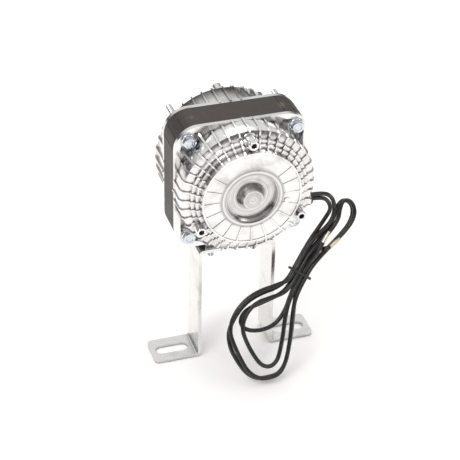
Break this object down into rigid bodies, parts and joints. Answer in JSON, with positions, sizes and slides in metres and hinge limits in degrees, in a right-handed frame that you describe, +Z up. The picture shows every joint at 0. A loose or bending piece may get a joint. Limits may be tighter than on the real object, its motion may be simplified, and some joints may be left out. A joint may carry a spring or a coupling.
{
  "type": "evaporator fan motor",
  "caption": "Square-frame fan motor with ribbed cast end shields, a shaft at the rear, two slotted bracket legs and a tied hank of leads.",
  "frame": {"origin": "on the floor, at the centre of the pattern of the two foot slots", "axes": "+Z up along the legs, +Y along the shaft towards its free end, +X across the two feet"},
  "size_m": [0.1315, 0.1195, 0.1693],
  "materials": {
    "laminated_steel": "rough",
    "cast_aluminium": "bright as-cast",
    "zinc_plate": "bright zinc",
    "ground_steel": "ground",
    "sintered_bronze": "satin",
    "copper": "enamelled",
    "tinned_brass": "satin",
    "felt": "soft",
    "nylon": "matt",
    "black_rubber": "satin",
    "black_pvc": "satin"
  },
  "bodies": {
    "motor": {"stator_core": "laminated_steel", "coil_bobbin_1": "nylon", "coil_1": "copper", "shading_ring_1": "copper", "coil_bobbin_2": "nylon", "coil_2": "copper", "shading_ring_2": "copper", "coil_bobbin_3": "nylon", "coil_3": "copper", "shading_ring_3": "copper", "coil_bobbin_4": "nylon", "coil_4": "copper", "shading_ring_4": "copper", "front_bearing": "sintered_bronze", "front_oil_felt": "felt", "front_bearing_clip": "zinc_plate", "front_shield": "cast_aluminium", "rear_bearing": "sintered_bronze", "rear_oil_felt": "felt", "rear_bearing_clip": "zinc_plate", "rear_shield": "cast_aluminium", "clamp_bolts": "zinc_plate", "clamp_nuts": "zinc_plate", "left_bracket": "zinc_plate", "right_bracket": "zinc_plate", "bracket_bolts": "zinc_plate", "bracket_nuts": "zinc_plate", "lead_grommet": "black_rubber", "lead_1": "black_pvc", "lead_2": "black_pvc", "lead_hank": "black_pvc", "hank_tie": "black_pvc", "lead_terminal_1": "tinned_brass", "lead_terminal_2": "tinned_brass"},
    "rotor": {"shaft": "ground_steel", "rotor_core": "laminated_steel", "rotor_cage": "cast_aluminium", "front_thrust_washer": "nylon", "front_spacer": "nylon", "rear_thrust_washer": "nylon", "rear_spacer": "nylon"}
  },
  "joints": [
    {"name": "rotor_spin", "type": "hinge", "parent": "motor", "child": "rotor", "pos_m": [0.0026, 0.004, 0.1264], "axis": [0, 1, 0], "continuous": true}
  ]
}
